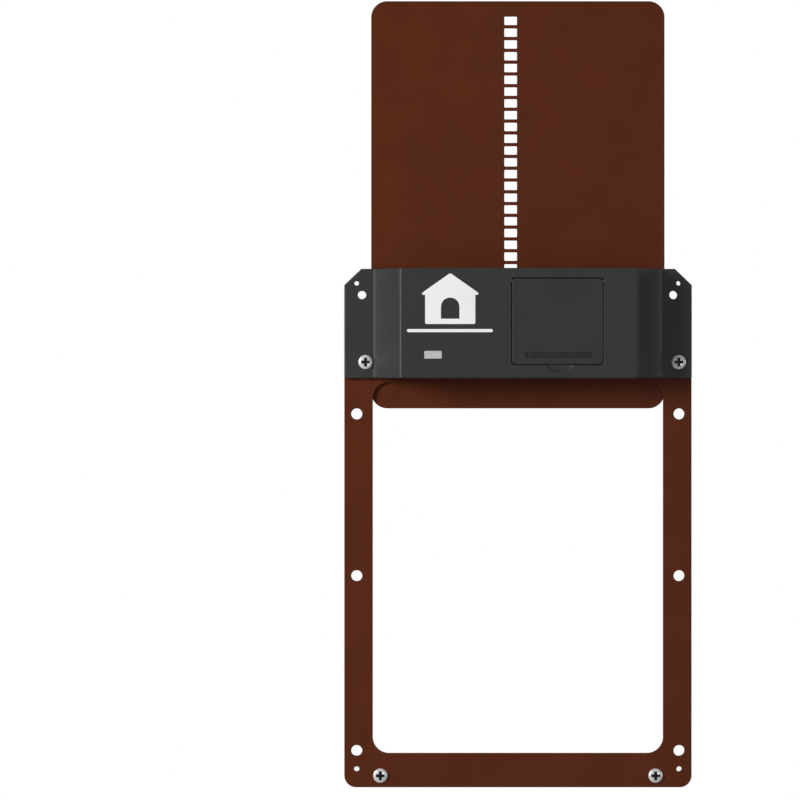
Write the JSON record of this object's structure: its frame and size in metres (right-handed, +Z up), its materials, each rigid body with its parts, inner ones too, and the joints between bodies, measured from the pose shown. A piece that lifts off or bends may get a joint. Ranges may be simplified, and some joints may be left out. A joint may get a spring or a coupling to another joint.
{
  "type": "automatic coop door",
  "caption": "Battery-powered sliding coop door: a slotted panel rises behind a rectangular sheet frame, driven from a slope-sided casing with a hinged flap.",
  "frame": {"origin": "centre of the sill rail's back face, in the plane of the wall that the door is screwed to", "axes": "+Z up along the door's travel, +Y into the wall, +X to the right as seen from the front"},
  "size_m": [0.265, 0.0415, 0.6],
  "materials": {
    "brown_paint": "brown powder coat",
    "rail_plastic": "extruded black plastic",
    "case_plastic": "fine-grained charcoal moulding",
    "black_plastic": "satin moulding",
    "button_rubber": "soft silicone",
    "seal_rubber": "matt foam rubber",
    "window_plastic": "frosted",
    "screw_chrome": "bright plated",
    "steel": "zinc plated",
    "cell_skin": null,
    "brass": "stamped",
    "nylon": "natural nylon",
    "board_green": "solder mask",
    "red_pvc": "wire sleeve",
    "black_pvc": "wire sleeve"
  },
  "bodies": {
    "frame_and_casing": {"front_frame": "brown_paint", "guide_rail_left": "rail_plastic", "guide_rail_right": "rail_plastic", "sill_rail": "rail_plastic", "back_plate": "rail_plastic", "screw_sill_left": "screw_chrome", "screw_sill_right": "screw_chrome", "casing": "case_plastic", "casing_gasket": "seal_rubber", "sensor_window": "window_plastic", "screw_casing_left": "screw_chrome", "screw_casing_right": "screw_chrome", "flap_pin": "steel", "flap_seal": "seal_rubber", "control_panel": "black_plastic", "control_board": "board_green", "tact_switch_open": "black_plastic", "tact_switch_close": "black_plastic", "tact_switch_set": "black_plastic", "power_switch_body": "steel", "panel_screw_left": "steel", "panel_screw_right": "steel", "main_board": "board_green", "light_sensor": "window_plastic", "board_screw_1": "steel", "board_screw_2": "steel", "ribbon_cable": "nylon", "battery_holder": "black_plastic", "battery_1": "cell_skin", "contact_plate_1": "steel", "contact_spring_1": "steel", "battery_2": "cell_skin", "contact_plate_2": "steel", "contact_spring_2": "steel", "battery_3": "cell_skin", "contact_plate_3": "steel", "contact_spring_3": "steel", "battery_4": "cell_skin", "contact_plate_4": "steel", "contact_spring_4": "steel", "gearbox": "brass", "motor_can": "steel", "motor_end_cap": "black_plastic", "motor_bracket": "steel", "shaft_bearing": "black_plastic", "bracket_screw_1": "steel", "bracket_screw_2": "steel", "bearing_screw": "steel", "motor_lead_red": "red_pvc", "motor_lead_black": "black_pvc", "battery_lead_red": "red_pvc", "battery_lead_black": "black_pvc"},
    "door": {"door_panel": "brown_paint"},
    "pinion_unit": {"pinion": "nylon", "drive_shaft": "steel"},
    "flap": {"flap": "case_plastic"},
    "open_button": {"button_open": "button_rubber"},
    "close_button": {"button_close": "button_rubber"},
    "set_button": {"button_set": "button_rubber"},
    "power_switch": {"power_switch_knob": "black_plastic"}
  },
  "joints": [
    {"name": "door_slide", "type": "slide", "parent": "frame_and_casing", "child": "door", "axis": [0, 0, -1], "range_m": [0, 0.2632]},
    {"name": "pinion_spin", "type": "hinge", "parent": "frame_and_casing", "child": "pinion_unit", "pos_m": [0, -0.01234, 0.3105], "axis": [1, 0, 0], "continuous": true},
    {"name": "flap_hinge", "type": "hinge", "parent": "frame_and_casing", "child": "flap", "pos_m": [0.0292, -0.04, 0.3725], "axis": [-1, 0, 0], "range_deg": [0, 100]},
    {"name": "open_button_press", "type": "slide", "parent": "frame_and_casing", "child": "open_button", "axis": [0, 1, 0], "range_m": [0, 0.0008], "stiffness_N_per_m": 800, "springref_m": -0.0006},
    {"name": "close_button_press", "type": "slide", "parent": "frame_and_casing", "child": "close_button", "axis": [0, 1, 0], "range_m": [0, 0.0008], "stiffness_N_per_m": 800, "springref_m": -0.0006},
    {"name": "set_button_press", "type": "slide", "parent": "frame_and_casing", "child": "set_button", "axis": [0, 1, 0], "range_m": [0, 0.0008], "stiffness_N_per_m": 800, "springref_m": -0.0006},
    {"name": "power_switch_slide", "type": "slide", "parent": "frame_and_casing", "child": "power_switch", "axis": [1, 0, 0], "range_m": [0, 0.004]}
  ],
  "couplings": [
    {"joint": "pinion_spin", "follows": "door_slide", "rad_per_m": -116.36}
  ]
}
